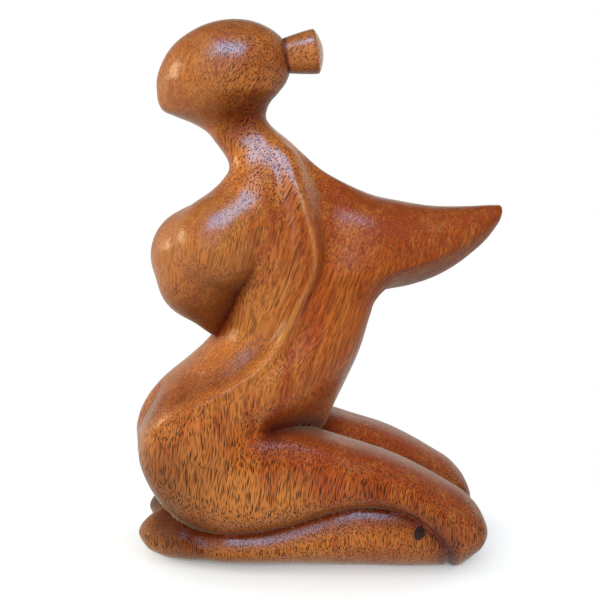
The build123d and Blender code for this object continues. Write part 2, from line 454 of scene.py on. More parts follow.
# %% Cuts, hollows and folds
BUN_SEAT = (-16.0, 280.8)    # x and z of the middle of the flat
BUN_TILT = math.radians(8.4)
BUN_BASE, BUN_RIM = 9.6, 12.0        # radii of the bun's foot and of the flat
INSTEP = (-62.5, 20.0, 8.5, 6.5)     # x, z, reach and height of the hollow between foot and shin
UNEVEN = 0.09                # how far the sanding left the surface off true


def hand_sanded(x, y, z):
    """A slow unevenness: three sine waves that run in different directions."""
    one = np.sin(x / 7.3 + y / 11.0 + z / 9.1 + 0.8)
    two = np.sin(x / 10.7 - y / 6.1 - z / 6.9 + 2.1)
    three = np.sin(-x / 5.2 + y / 9.3 + z / 13.0 + 4.4)
    return UNEVEN * (one + two + three) / 1.5


def run_in(level, a, b, radius, edge=0.8):
    """Cut a round groove along the line where levels a and b are both zero, its edges eased."""
    return cut(level, np.hypot(a, b) - radius, edge)


def folded(a, b, share, wide):
    """1 on the line where levels a and b are both zero, a share of it fading slowly and the rest fast."""
    apart = a * a + b * b
    return (1 - share) * np.exp(-apart / 4.0) + share * np.exp(-apart / wide)


def near_to(level, reach):
    """1 in the wood of a level, fading outside it as exp(-(distance / reach)^2)."""
    return np.exp(-(np.maximum(level, 0) / reach) ** 2)


def from_bun_seat(x, y, z):
    """How far a place is along the bun's axis from its seat, and how far off that axis."""
    dx, dz = x - BUN_SEAT[0], z - BUN_SEAT[1]
    along = dx * math.cos(BUN_TILT) + dz * math.sin(BUN_TILT)
    return along, np.hypot(dz * math.cos(BUN_TILT) - dx * math.sin(BUN_TILT), y)


def instep_pocket(x, side, z):
    """1 in the middle of the hollow on the outer side between foot and shin, fading all round."""
    x0, z0, reach, height = INSTEP
    pocket = np.exp(-((x - x0) / reach) ** 2 - ((z - z0) / height) ** 2) * ease((x - x0 + 11) / 6)
    return pocket * ease((-26 - side) / 8)


# %% The carving's level
FOLD_CUT = 0.7               # radius of the fine cut along a tight fold
INSTEP_DEPTH = 2.3
LAP_TUCK, LAP_REACH = 2.6, 5.2       # how far the belly turns in above the lap, and over what height
NECK_HOLLOW = 4.0            # the radii of the hollows between limbs
ARM_HOLLOW, SHOULDER_HOLLOW, FLANK_HOLLOW = 3.0, 11.0, 18.0
BREAST_HOLLOW, COLLAR_HOLLOW = 2.5, 11.0
LAP_HOLLOW, HIP_HOLLOW = 2.0, 9.0
SHIN_HOLLOW = 1.2
SEAT_EDGE, SOLE_EDGE = 0.5, 1.0      # how far the edges of the two flats are eased


def carving(x, y, z):
    """The level of the whole carving, and the levels that the marks in its folds are made from."""
    side = -np.abs(y)
    head, breast = head_level(x, side, z), breast_level(x, side, z)
    trunk, arms = limb(TRUNK, z, x, side), limb(ARMS, x, z, side)
    thigh, shin = limb(THIGH, x, z, side), limb(SHIN, x, z, side)

    off_middle = ease((-side - 3) / 16)
    shoulder = np.maximum(SHOULDER_HOLLOW * ease((z - 158) / 25), FLANK_HOLLOW * off_middle)
    below_head = melt(trunk, arms, ARM_HOLLOW + shoulder)
    body = melt(below_head, head, NECK_HOLLOW) + line_depth(x, y, z)[0]
    bust = melt(body, breast, BREAST_HOLLOW + COLLAR_HOLLOW * (1 - ease((192 - z) / 26)))
    lap = ease((x + 34) / 10)
    tucked = bust + LAP_TUCK * lap * near_to(thigh, LAP_REACH)
    seated = melt(tucked, thigh, LAP_HOLLOW + HIP_HOLLOW * (1 - ease((x + 62) / 32)))
    seated = run_in(seated, tucked, thigh, FOLD_CUT * lap)
    shin = shin + INSTEP_DEPTH * instep_pocket(x, side, z)
    whole = melt(seated, shin, SHIN_HOLLOW)
    whole = run_in(whole, seated, shin, FOLD_CUT * ease((x + 80) / 12))

    along, off = from_bun_seat(x, y, z)
    whole = cut(whole, np.maximum(-along, off - BUN_RIM), SEAT_EDGE) + hand_sanded(x, y, z)
    parts = SimpleNamespace(
        head=head, breast=breast, below_head=below_head, body=body, tucked=tucked, thigh=thigh,
        seated=seated, shin=shin, lap=lap,
    )
    return cut(whole, z, SOLE_EDGE), parts


# %% [markdown]
# Three marks go with every point of the skin, each from 0 to 1, and the finish
# reads them later. The fold mark is painted shade: the wood is painted darker in
# the folds and hollows, where shade falls. A *dull* place is one that the
# polishing cloth hardly reached: the folds, the lap, the collar and the foot.
# The crest mark is a painted highlight: the crest of the carved line is painted
# paler than the wood beside it.

# %% Marks for the finish
def finish_marks(x, y, z):
    """Painted fold shade, dull and painted crest light at each point. Each is the highest of the places
    that add to it.
    """
    at = carving(x, y, z)[1]
    side = -np.abs(y)
    _, shade, painted_crest_light = line_depth(x, y, z)
    x0, z0, reach, height = INSTEP

    # painted shade: in the lap crease, under the breasts and the chin, along the shin, round the bun, in
    # the instep pocket and in the hollow before the carved line
    lap_fold = folded(0.7 * at.tucked, at.thigh, 0.85, 60) * at.lap
    breast_fold = folded(at.body / 2.6, 2.5 * at.breast, 0.92, 100) * ease((178 - z) / 28)
    chin_fold = 0.85 * folded(at.below_head / 1.4, 1.6 * at.head, 1.0, 270) * ease((x + 66) / 26)
    heel = ease((-48 - x) / 26)
    shin_fold = folded(at.seated, at.shin, 0.7 + 0.2 * heel, 100 + 160 * heel)
    along, off = from_bun_seat(x, y, z)
    bun_fold = folded(along, off - BUN_BASE, 0.35, 60)
    pocket = 0.75 * instep_pocket(x, side, z)
    soft_folds = [lap_fold, breast_fold, chin_fold]
    painted_fold_shade = np.maximum.reduce([*soft_folds, shin_fold, bun_fold, pocket, 0.5 * shade])

    over_lap = near_to(at.thigh, 5) * np.exp(-(at.tucked / 20) ** 2)
    over_lap = over_lap * ease((x + 50) / 12) * ease((18 - x) / 14)
    thigh_top = 0.4 * near_to(at.thigh, 3) * ease((z + 0.4 * x - 50) / 16) * ease((x + 50) / 12)
    on_shin = 0.3 * ease((at.seated - at.shin - 0.5) / 3)
    collar = 0.8 * np.exp(-((x + 32) / 8) ** 2 - ((z - 216) / 9) ** 2)
    foot = np.exp(-((x - x0 + 6) / (1.6 * reach)) ** 2 - ((z - z0 - 3) / (1.8 * height)) ** 2)
    foot = foot * ease((-26 - side) / 8)
    dull = np.maximum.reduce([*soft_folds, over_lap, thigh_top, on_shin, collar, foot])
    return {"painted_fold_shade": painted_fold_shade, "dull": dull, "painted_crest_light": painted_crest_light}


# %% [markdown]
# ## From level to skin
#
# The level is sampled on a box of points and a skin is drawn at zero. A cell
# of the box that the surface crosses gets one vertex, at the mean of the
# places where its edges are crossed, and each crossed edge gets one quad
# between the four cells round it. That gives an even net of quads, which bends
# with the surface better than triangles do. Two Newton steps then move every
# vertex onto the exact surface: it goes down the level's slope by the level
# over the slope's square.
#
# The net is a little finer up and along than it is across, because most of
# the carving is seen from the side, and folds and lines show there.

# %% Skin helpers
def net(level, grids):
    """Vertices and quads of the zero surface of a level sampled on a box of points."""
    inside = level < 0
    shape = [size - 1 for size in level.shape]
    corners = [(i, j, k) for i in (0, 1) for j in (0, 1) for k in (0, 1)]
    nx, ny, nz = shape
    count = sum(inside[i:i + nx, j:j + ny, k:k + nz].astype(np.int8) for i, j, k in corners)
    cells = np.argwhere((count > 0) & (count < 8))
    number = np.full(shape, -1, np.int64)
    number[tuple(cells.T)] = np.arange(len(cells))
    total, crossings = np.zeros((len(cells), 3)), np.zeros((len(cells), 1))
    quads = []
    for axis in range(3):
        one, two = (axis + 1) % 3, (axis + 2) % 3
        step = np.eye(3, dtype=int)
        for u, v in ((0, 0), (0, 1), (1, 0), (1, 1)):
            start = cells + u * step[one] + v * step[two]
            end = start + step[axis]
            a, b = level[tuple(start.T)], level[tuple(end.T)]
            crossed = (a < 0) != (b < 0)
            share = np.where(crossed, a / np.where(crossed, a - b, 1.0), 0.0)[:, None]
            total += np.where(crossed[:, None], start + share * step[axis], 0.0)
            crossings += crossed[:, None]
        first, second = [slice(None)] * 3, [slice(None)] * 3
        first[axis], second[axis] = slice(0, -1), slice(1, None)
        edges = np.argwhere(inside[tuple(first)] != inside[tuple(second)])
        leaving = inside[tuple(edges.T)]
        ring = [edges, edges - step[one], edges - step[one] - step[two], edges - step[two]]
        quad = np.stack([number[tuple(cell.T)] for cell in ring], 1)
        quads.append(np.where(leaving[:, None], quad, quad[:, ::-1]))
    place = total / crossings
    points = [np.interp(place[:, axis], np.arange(len(grids[axis])), grids[axis]) for axis in range(3)]
    return np.stack(points, 1), np.concatenate(quads)


FARTHEST_MOVE = 0.6          # in one Newton step, mm
LEAST_SLOPE = 0.2            # its square, so that a step in a sharp fold stays short


def settle(points, steps=2, reach=0.15):
    """Newton steps onto the carving's surface: point - level * slope / |slope|^2."""
    for _ in range(steps):
        level = carving(*points.T)[0]
        slope = np.stack([
            (carving(*(points + reach * axis).T)[0] - carving(*(points - reach * axis).T)[0]) / (2 * reach)
            for axis in np.eye(3)
        ], 1)
        move = level[:, None] * slope / np.maximum((slope * slope).sum(1), LEAST_SLOPE)[:, None]
        points = points - np.clip(move, -FARTHEST_MOVE, FARTHEST_MOVE)
    return points


# %% Making a piece
def new_piece(name, points_mm, faces, replaced, marks=None):
    """Put a mesh into the scene as a piece on the root body, with its place in its mesh."""
    mesh = bpy.data.meshes.new(name)
    mesh.from_pydata((np.asarray(points_mm) * MM).tolist(), [], np.asarray(faces).tolist())
    mesh.shade_smooth()
    for mark, values in (marks or {}).items():
        attribute = mesh.attributes.new(mark, "FLOAT", "POINT")
        attribute.data.foreach_set("value", np.asarray(values, np.float32))
    piece = bpy.data.objects.new(name, mesh)
    bpy.context.scene.collection.objects.link(piece)
    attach(piece, "root")
    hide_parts(replaced)
    print(f"{name}: {len(mesh.vertices)} vertices, {len(mesh.polygons)} faces")
    return piece


# %% Carve the figure
NET_STEP = (1.26, 2.0, 1.26)
NET_LOW = (-107.0, -52.0, -2.6)
NET_HIGH = (108.0, 52.0, 303.0)

grids = [np.arange(low, high, step) for low, high, step in zip(NET_LOW, NET_HIGH, NET_STEP)]
grids[1] = grids[1] - (grids[1][0] + grids[1][-1]) / 2
sampled = carving(grids[0][:, None, None], grids[1][None, :, None], grids[2][None, None, :])[0]
skin, quads = net(sampled, grids)
skin = settle(skin)
skin[:, 2] = np.maximum(skin[:, 2], 0.0)
figure = new_piece("figure_carving", skin, quads, "carved_figure", finish_marks(*skin.T))
print("the carving measures, mm:", np.round(skin.max(0) - skin.min(0), 1))

# %% [markdown]
# ## The hair bun
#
# The bun is a short knob, turned a little wider at its free end, with a gently
# domed end and an edge that has been softened by hand. It is a profile carried
# round its axis: for each mark along the profile, a distance along the axis
# and a radius. Its foot goes a hair's breadth into the flat on the head, so
# that the joint is a crisp line.

# %% Closed grids
def closed_grid(rows, columns):
    """Quads of a grid that closes on itself along its columns, its end rows shrunk to poles."""
    r, c = np.meshgrid(np.arange(rows - 1) * columns, np.arange(columns), indexing="ij")
    after = (c + 1) % columns
    return np.stack([r + c, r + after, r + columns + after, r + columns + c], -1).reshape(-1, 4)


def weld(piece, gap_mm=0.002):
    """Join the vertices of shrunken rows, drop what has no area and point all faces outwards."""
    shell = bmesh.new()
    shell.from_mesh(piece.data)
    bmesh.ops.remove_doubles(shell, verts=shell.verts, dist=gap_mm * MM)
    bmesh.ops.recalc_face_normals(shell, faces=shell.faces)
    shell.to_mesh(piece.data)
    shell.free()


# %% Bun
BUN_PROFILE = [
    (-1.2, 0.0), (-1.2, 5.0), (-1.2, 9.2), (-0.5, 9.45), (0.3, 9.6), (3.0, 10.1), (6.5, 10.75),
    (10.0, 11.3), (13.0, 11.7), (15.0, 11.9), (15.9, 11.9), (16.5, 11.6), (17.1, 10.7), (17.8, 9.3),
    (18.6, 7.2), (19.3, 5.0), (19.8, 2.6), (20.0, 0.0),
]
BUN_TURNS = 96
BUN_ROWS = 72
JOINT_REACH = 0.9            # how far the shade of the joint goes up the bun

marks = np.linspace(0, 1, BUN_ROWS)
profile = np.array(BUN_PROFILE)
travel = np.concatenate([[0], np.cumsum(np.hypot(*np.diff(profile, axis=0).T))])
travel = travel / travel[-1]
out = through(list(zip(travel, profile[:, 0])), marks)
radius = np.maximum(through(list(zip(travel, profile[:, 1])), marks), 0.0)
radius[[0, -1]] = 0.0
turn = np.linspace(0, 2 * np.pi, BUN_TURNS, endpoint=False)
uneven = 0.006 * np.sin(3 * turn + 0.7) + 0.004 * np.sin(5 * turn + marks[:, None] * 3)
across, up = radius[:, None] * (1 + uneven) * np.array([np.cos(turn), np.sin(turn)])[:, None, :]
bun_points = np.stack([
    BUN_SEAT[0] + out[:, None] * math.cos(BUN_TILT) - up * math.sin(BUN_TILT),
    across,
    BUN_SEAT[1] + out[:, None] * math.sin(BUN_TILT) + up * math.cos(BUN_TILT),
], -1).reshape(-1, 3)
# painted shade at the bun's foot, where it meets the head
joint_shade = {"painted_fold_shade": np.repeat(np.exp(-(out / JOINT_REACH) ** 2), BUN_TURNS)}
bun_faces = closed_grid(BUN_ROWS, BUN_TURNS)
bun = new_piece("bun_carving", bun_points, bun_faces, "hair_bun", joint_shade)
weld(bun)

# %% [markdown]
# ## The plug
#
# The plug is a knot that was bored out and filled with a slip of nearly black
# wood, then sanded flush. It is a small disc whose face lies on the carving's
# own surface, found at each point by halving the interval that holds it, and
# whose edge dips just under, so that only a hairline shows round it.

# %% Plug
PLUG_MIDDLE = (56.0, 24.9)
PLUG_HALF = (3.5, 4.2)
PLUG_THICK = 3.0
PLUG_PROUD, PLUG_DIP = 0.08, 0.3     # how far its face stands out, and how far its edge turns in
PLUG_RINGS, PLUG_TURNS = 14, 48


def surface_y(x, z):
    """The y of the near surface at each x and z, by halving: 30 steps from outside in."""
    outside, inside = np.full(x.shape, -60.0), np.full(x.shape, -30.0)
    for _ in range(30):
        middle = (outside + inside) / 2
        in_wood = carving(x, middle, z)[0] < 0
        outside, inside = np.where(in_wood, outside, middle), np.where(in_wood, middle, inside)
    return (outside + inside) / 2


share = np.linspace(0, 1, PLUG_RINGS)[:, None]
turn = np.linspace(0, 2 * np.pi, PLUG_TURNS, endpoint=False)[None, :]
wobble = 1 + 0.06 * np.sin(2 * turn + 0.5) + 0.04 * np.sin(3 * turn + 2.0)
plug_x = PLUG_MIDDLE[0] + share * PLUG_HALF[0] * wobble * np.cos(turn)
plug_z = PLUG_MIDDLE[1] + share * PLUG_HALF[1] * wobble * np.sin(turn)
face_y = surface_y(plug_x, plug_z) - PLUG_PROUD + PLUG_DIP * ease((share - 0.8) / 0.2)
plug_front = np.stack([plug_x, face_y, plug_z], -1)
plug_back = np.stack([plug_x, face_y + PLUG_THICK, plug_z], -1)[::-1]
plug_points = np.concatenate([plug_front, plug_back]).reshape(-1, 3)
plug_faces = closed_grid(2 * PLUG_RINGS, PLUG_TURNS)
plug = new_piece("plug_face", plug_points, plug_faces, "knot_plug")
weld(plug)

# %% [markdown]
# ## The wood
#
# Solid wood shows its grain wherever it is cut, so its pattern has to be a
# pattern in space, not on the surface. Four things make it up:
#
# - vessels: fine dark tubes that run up the trunk. On an upright face they
#   are cut lengthwise and show as short dark dashes. On a face that looks up
#   or down they are cut across and show as dots.
# - long lines at the waist, where the cut runs nearly along the vessels.
# - growth rings, which run round the heart of the tree. Where a bulge is cut
#   through them they show as closed curves, like the lines on a map.
# - a slow change of colour, from golden to red brown, drawn out along the
#   grain, with a browner front. Painted shade darkens the heels and the
#   knees, most the far heel.
#
# The grain is upright in the legs and leans towards the knees higher up.

# %% Wiring nodes
class Wiring:
    """Adds nodes to a shader tree. All but add give the sockets that the next node is plugged into."""

    def __init__(self, tree):
        self.tree = tree

    def plug(self, socket, value):
        """Link the socket to another socket, or set it to a plain value."""
        if isinstance(value, bpy.types.NodeSocket):
            self.tree.links.new(value, socket)
        else:
            socket.default_value = value

    def add(self, kind, inputs=None, **settings):
        """A new node, set up and with its inputs plugged in by name or number."""
        node = self.tree.nodes.new(kind)
        for name, value in settings.items():
            setattr(node, name, value)
        for name, value in (inputs or {}).items():
            self.plug(node.inputs[name], value)
        return node

    def math(self, operation, *values, clamp=False):
        """One operation on one to three values."""
        inputs = dict(enumerate(values))
        return self.add("ShaderNodeMath", inputs, operation=operation, use_clamp=clamp).outputs[0]

    def times(self, *values):
        """The product of any number of values."""
        return reduce(lambda a, b: self.math("MULTIPLY", a, b), values)

    def plus(self, *values):
        """The sum of any number of values."""
        return reduce(lambda a, b: self.math("ADD", a, b), values)

    def ramp(self, value, low, high, to_low=0.0, to_high=1.0, shape="SMOOTHSTEP"):
        """A step from to_low, where the value is low, to to_high, where it is high, and level beyond."""
        inputs = {"Value": value, "From Min": low, "From Max": high, "To Min": to_low, "To Max": to_high}
        return self.add("ShaderNodeMapRange", inputs, interpolation_type=shape).outputs["Result"]

    def stretched(self, vector, x, y, z):
        """The vector with each part multiplied by its own number."""
        return self.add("ShaderNodeVectorMath", {0: vector, 1: (x, y, z)}, operation="MULTIPLY").outputs[0]

    def apart(self, vector):
        """The three parts of a vector."""
        return self.add("ShaderNodeSeparateXYZ", {0: vector}).outputs

    def noise(self, vector, scale=1.0, detail=2.0, rough=0.5):
        """A cloudy pattern in space: Fac from 0 to 1, or three such values as Color."""
        inputs = {"Vector": vector, "Scale": scale, "Detail": detail, "Roughness": rough}
        return self.add("ShaderNodeTexNoise", inputs).outputs

    def blend(self, share, a, b, mode="MIX"):
        """Colour a where the share is 0, and b, or a multiplied by b, where it is 1."""
        inputs = {0: share, 6: a, 7: b}
        return self.add("ShaderNodeMix", inputs, data_type="RGBA", blend_type=mode).outputs[2]


def new_group(name, inputs, outputs):
    """An empty shader group with named sockets, given as (name, kind, value) and (name, kind)."""
    group = bpy.data.node_groups.new(name, "ShaderNodeTree")
    for label, kind, value in inputs:
        socket = group.interface.new_socket(label, in_out="INPUT", socket_type=kind)
        if value is not None:
            socket.default_value = value
    for label, kind in outputs:
        group.interface.new_socket(label, in_out="OUTPUT", socket_type=kind)
    return group


# %% Which way the grain runs
def grain_place(n, given, x, y, z):
    """A point as the grain sees it, in mm: across, across and along, and how far it wanders along x.

    The grain leans, most above the waist and more again in the head. It
    wanders slowly by a few millimetres and quickly by a hair.
    """
    in_head = n.math("MAXIMUM", n.math("SUBTRACT", z, 238.0), 0.0)
    lean = n.times(n.ramp(z, 30.0, 300.0), given["Lean"], n.ramp(x, -50.0, 15.0, 0.55, 1.0))
    lean = n.math("MULTIPLY_ADD", in_head, 0.3, lean)
    slow = n.apart(n.noise(given["Point"], 0.018, 1.0)["Color"])
    quick = n.apart(n.noise(given["Point"], 0.07, 1.0)["Color"])
    wander_x = n.plus(n.times(slow["X"], 10.0), n.times(quick["X"], 0.8))
    wander_y = n.plus(n.times(slow["Y"], 7.0), n.times(quick["Y"], 0.6))
    grain_x = n.plus(n.math("SUBTRACT", x, lean), wander_x)
    grain_y = n.plus(y, wander_y)
    above_lap = n.math("MINIMUM", n.math("MAXIMUM", n.math("SUBTRACT", z, 90.0), 0.0), 130.0)
    run = n.math("MULTIPLY_ADD", above_lap, -0.4, n.math("MULTIPLY_ADD", in_head, 1.6, z))
    return n.add("ShaderNodeCombineXYZ", {"X": grain_x, "Y": grain_y, "Z": run}).outputs[0], wander_x


def growth_rings(n, given, grain):
    """0 to 1 and back over each ring: the sine of the distance from the heart, a little uneven."""
    place = n.apart(grain)
    off_x = n.math("SUBTRACT", place["X"], given["Heart X"])
    off_y = n.math("SUBTRACT", place["Y"], given["Heart Y"])
    distance = n.math("SQRT", n.plus(n.times(off_x, off_x), n.times(off_y, off_y)))
    uneven = n.noise(n.stretched(grain, 0.05, 0.05, 0.02))["Fac"]
    rings = n.math("DIVIDE", n.plus(distance, n.times(uneven, 9.0)), given["Ring"])
    return n.math("MULTIPLY_ADD", n.math("SINE", n.times(rings, 2 * math.pi)), 0.5, 0.5)


# %% Vessels
def vessels(n, grain, spacing, length, core, rim, seed):
    """Drawn-out cells, each dark round its middle: 1 within the core, 0 past the rim."""
    place = n.stretched(grain, 1 / spacing, 1 / spacing, 1 / length)
    place = n.add("ShaderNodeVectorMath", {0: place, 1: (seed, seed, seed)}, operation="ADD").outputs[0]
    near = n.add("ShaderNodeTexVoronoi", {"Vector": place, "Scale": 1.0}, feature="F1").outputs["Distance"]
    return n.ramp(near, core, rim, 1.0, 0.0)


def pore_mask(n, grain, x, z):
    """1 in the open vessels: the highest of coarse dashes, fine dashes and the long lines at the waist."""
    waist = n.times(
        n.ramp(z, 80.0, 125.0), n.ramp(z, 182.0, 212.0, 1.0, 0.1),
        n.ramp(x, -62.0, -38.0, 0.25, 1.0),
    )
    on_bust = n.times(n.ramp(x, -62.0, -42.0, 1.0, 0.0), n.ramp(z, 120.0, 140.0))
    core, rim = n.ramp(z, 60.0, 110.0, 0.24, 0.19), n.ramp(z, 60.0, 110.0, 0.44, 0.40)
    coarse = n.times(
        vessels(n, grain, 0.78, 12.0, core, rim, 0.0),
        n.ramp(waist, 0.0, 1.0, 1.0, 0.5), n.ramp(on_bust, 0.0, 1.0, 1.0, 0.45),
    )
    fine = n.times(vessels(n, grain, 0.58, 6.5, 0.22, 0.46, 37.0), n.ramp(waist, 0.0, 1.0, 0.75, 0.5))
    lines = n.times(vessels(n, grain, 0.90, 60.0, 0.15, 0.50, 71.0), n.ramp(waist, 0.0, 1.0, 0.0, 0.76))
    return n.math("MAXIMUM", n.math("MAXIMUM", coarse, fine), lines)


# %% Red and golden zones
RED_EDGE = [                 # where the red wood begins, as steps in x over a range of height
    (30.0, 75.0, 5.0, -48.0), (85.0, 120.0, 0.0, 30.0), (130.0, 165.0, 0.0, -10.0),
    (185.0, 225.0, 0.0, 26.0), (230.0, 270.0, 0.0, -12.0),
]
ARM_EDGE = [(70.0, 165.0, -48.0, -3.0), (175.0, 265.0, 0.0, -21.0)]      # the carved line, in the same way
FRONT_BROWN = (0.30, 0.14, 0.06, 1)
# painted shade: the colour that the heels and the ends of the knees are darkened towards
END_SHADE = (0.10, 0.045, 0.018, 1)


def red_share(n, x, z, wander_x):
    """How much redder the wood is: more past its edge, less low down, and a little more on the lap, where
    it is partly painted shade.
    """
    edge = n.plus(*[n.ramp(z, *step) for step in RED_EDGE])
    past_edge = n.plus(n.math("SUBTRACT", x, edge), n.math("MULTIPLY_ADD", wander_x, 0.9, -5.0))
    # partly painted shade: the lap is painted redder above the lap crease, on top of the wood's own tone
    lap = n.ramp(n.math("MULTIPLY_ADD", x, 0.4, z), 42.0, 68.0, -0.08, 0.18)
    return n.plus(
        n.ramp(past_edge, -24.0, 32.0, -0.14, 0.42), n.ramp(x, 0.0, 60.0, 0.0, 0.10),
        n.ramp(z, 20.0, 60.0, -0.4, 0.0), n.times(lap, n.ramp(z, 80.0, 100.0, 1.0, 0.0)),
    )


def front_brown_and_end_shade(n, x, y, z, wood):
    """Browner over the face and breasts, with painted shade that darkens the knees and heels, most on the
    far heel.
    """
    front = n.times(n.ramp(x, -62.0, -30.0, 0.28, 0.0), n.ramp(z, 125.0, 160.0))
    # painted shade on the heels, most on the far heel, and on the ends of the knees, which lie in shade
    heel_shade = n.times(
        n.ramp(x, -95.0, -40.0, 0.60, 0.0), n.ramp(z, 50.0, 95.0, 1.0, 0.0),
        n.ramp(z, 5.0, 20.0, 0.35, 1.0), n.ramp(y, -5.0, 15.0, 1.0, 1.75),
    )
    knee_shade = n.times(n.ramp(x, 66.0, 104.0, 0.0, 0.45), n.ramp(z, 55.0, 95.0, 1.0, 0.0))
    return n.blend(n.math("MAXIMUM", heel_shade, knee_shade), n.blend(front, wood, FRONT_BROWN), END_SHADE)


# %% The hardwood group
def hardwood_group():
    """Colour, groove height and pores at a point in mm, and 1 on the arm's side of the carved line."""
    colour, number = "NodeSocketColor", "NodeSocketFloat"
    inputs = [
        ("Point", "NodeSocketVector", None),
        ("Golden", colour, (0.76, 0.262, 0.046, 1)),
        ("Red brown", colour, (0.48, 0.084, 0.009, 1)),
        ("Pore", colour, (0.055, 0.015, 0.005, 1)),
        ("Lean", number, 62.0),
        ("Heart X", number, 26.0),
        ("Heart Y", number, 150.0),
        ("Ring", number, 7.0),
    ]
    outputs = [("Color", colour), ("Height", number), ("Pores", number), ("Arm side", number)]
    group = new_group("hardwood", inputs, outputs)
    n = Wiring(group)
    given = n.add("NodeGroupInput").outputs
    x, y, z = n.apart(given["Point"])
    grain, wander_x = grain_place(n, given, x, y, z)
    pores = pore_mask(n, grain, x, z)

    # tone is 0 for golden and 1 for red brown: streaks, patches, rings, zones and single fibres
    streak = n.noise(n.stretched(grain, 0.40, 0.40, 0.015), 1.0, 3.0, 0.6)["Fac"]
    patch = n.noise(n.stretched(grain, 0.06, 0.06, 0.022))["Fac"]
    fibre = n.noise(n.stretched(grain, 1.4, 1.4, 0.08), 1.0, 2.0, 0.6)["Fac"]
    tone = n.plus(
        n.ramp(streak, 0.3, 0.7, -0.12, 0.47), n.ramp(patch, 0.3, 0.7, -0.15, 0.35),
        n.times(growth_rings(n, given, grain), 0.15), red_share(n, x, z, wander_x),
    )
    tone = n.math("ADD", tone, n.math("MULTIPLY_ADD", fibre, 1.2, -0.6), clamp=True)
    wood = front_brown_and_end_shade(n, x, y, z, n.blend(tone, given["Golden"], given["Red brown"]))

    past_line = n.math("SUBTRACT", x, n.plus(*[n.ramp(z, *step) for step in ARM_EDGE]))
    n.add("NodeGroupOutput", {
        "Color": n.blend(n.times(pores, 0.96), wood, given["Pore"]),
        "Height": n.math("SUBTRACT", n.times(fibre, 0.15), pores),
        "Pores": pores,
        "Arm side": n.times(n.ramp(past_line, -2.0, 8.0), n.ramp(z, 110.0, 145.0)),
    })
    return group


HARDWOOD = hardwood_group()
print("hardwood group:", len(HARDWOOD.nodes), "nodes")

# %% [markdown]
# ## Finishes
#
# The carving is oiled and then polished with a clear wax, so it has a soft
# shine of its own and a clearer one from the coat on top. The open vessels
# take less of the polish: there the shine breaks up into dark specks. A faint
# sheen lights the edges, as the wax and the fine dust in it do.
#
# The marks on the skin do the rest. A fold is painted darker, as painted shade,
# a dull place has hardly any coat, and the crest of the carved line is painted
# paler, as a painted highlight.

# %% Polished wood
FOLD_SHADE = (0.24, 0.085, 0.03, 1)      # what the wood's colour is multiplied by deep in a fold
CREST_LIGHT = (0.84, 0.42, 0.10, 1)            # painted highlight: the pale colour that the crest of the carved line is painted towards
GROOVE = 0.0002                          # how deep the open vessels are, in metres


def millimetres(n, turn, shift):
    """Object coordinates in millimetres, turned and shifted for a piece whose grain runs its own way."""
    place = n.add("ShaderNodeTexCoord").outputs["Object"]
    inputs = {"Vector": place, "Rotation": turn, "Location": shift, "Scale": (1 / MM, 1 / MM, 1 / MM)}
    return n.add("ShaderNodeMapping", inputs).outputs[0]


def new_wiring(owner):
    """An empty shader tree for a material or a world."""
    owner.use_nodes = True
    owner.node_tree.nodes.clear()
    return Wiring(owner.node_tree)


def polished_wood(name, marked=False, turn=(0.0, 0.0, 0.0), shift=(0.0, 0.0, 0.0), **grain):
    """Oiled and waxed hardwood. A marked piece has painted fold shade, dull places and a painted crest
    highlight on its vertices.
    """
    material = bpy.data.materials.new(name)
    n = new_wiring(material)
    wood = n.add("ShaderNodeGroup", node_tree=HARDWOOD)
    n.plug(wood.inputs["Point"], millimetres(n, turn, shift))
    for label, value in grain.items():
        n.plug(wood.inputs[label.replace("_", " ")], value)
    colour, pores = wood.outputs["Color"], wood.outputs["Pores"]
    coat = n.ramp(pores, 0.0, 1.0, 0.95, 0.45)
    if marked:
        marks = [n.add("ShaderNodeAttribute", attribute_name=mark) for mark in ("painted_fold_shade", "dull", "painted_crest_light")]
        painted_fold_shade, dull, painted_crest_light = (mark.outputs["Fac"] for mark in marks)
        # painted shade in the folds, and a painted highlight on the crest of the carved line
        colour = n.blend(painted_fold_shade, colour, FOLD_SHADE, "MULTIPLY")
        colour = n.blend(n.times(painted_crest_light, 0.3), colour, CREST_LIGHT)
        behind_line = n.ramp(wood.outputs["Arm side"], 0.0, 1.0, 1.0, 0.25)
        coat = n.times(coat, n.ramp(dull, 0.1, 0.6, 1.0, 0.05), behind_line)
    bump = n.add("ShaderNodeBump", {"Height": wood.outputs["Height"], "Strength": 0.55, "Distance": GROOVE})
    surface = n.add("ShaderNodeBsdfPrincipled", {
        "Base Color": colour,
        "Roughness": n.ramp(pores, 0.0, 1.0, 0.36, 0.6),
        "Coat Weight": coat,
        "Coat Roughness": 0.25,
        "Coat IOR": 1.5,
        "Specular IOR Level": 0.2,
        "Sheen Weight": 0.3,
        "Sheen Roughness": 0.3,
        "Sheen Tint": (0.85, 1.0, 0.75, 1),
        "Normal": bump.outputs[0],
    })
    n.add("ShaderNodeOutputMaterial", {"Surface": surface.outputs[0]})
    return material


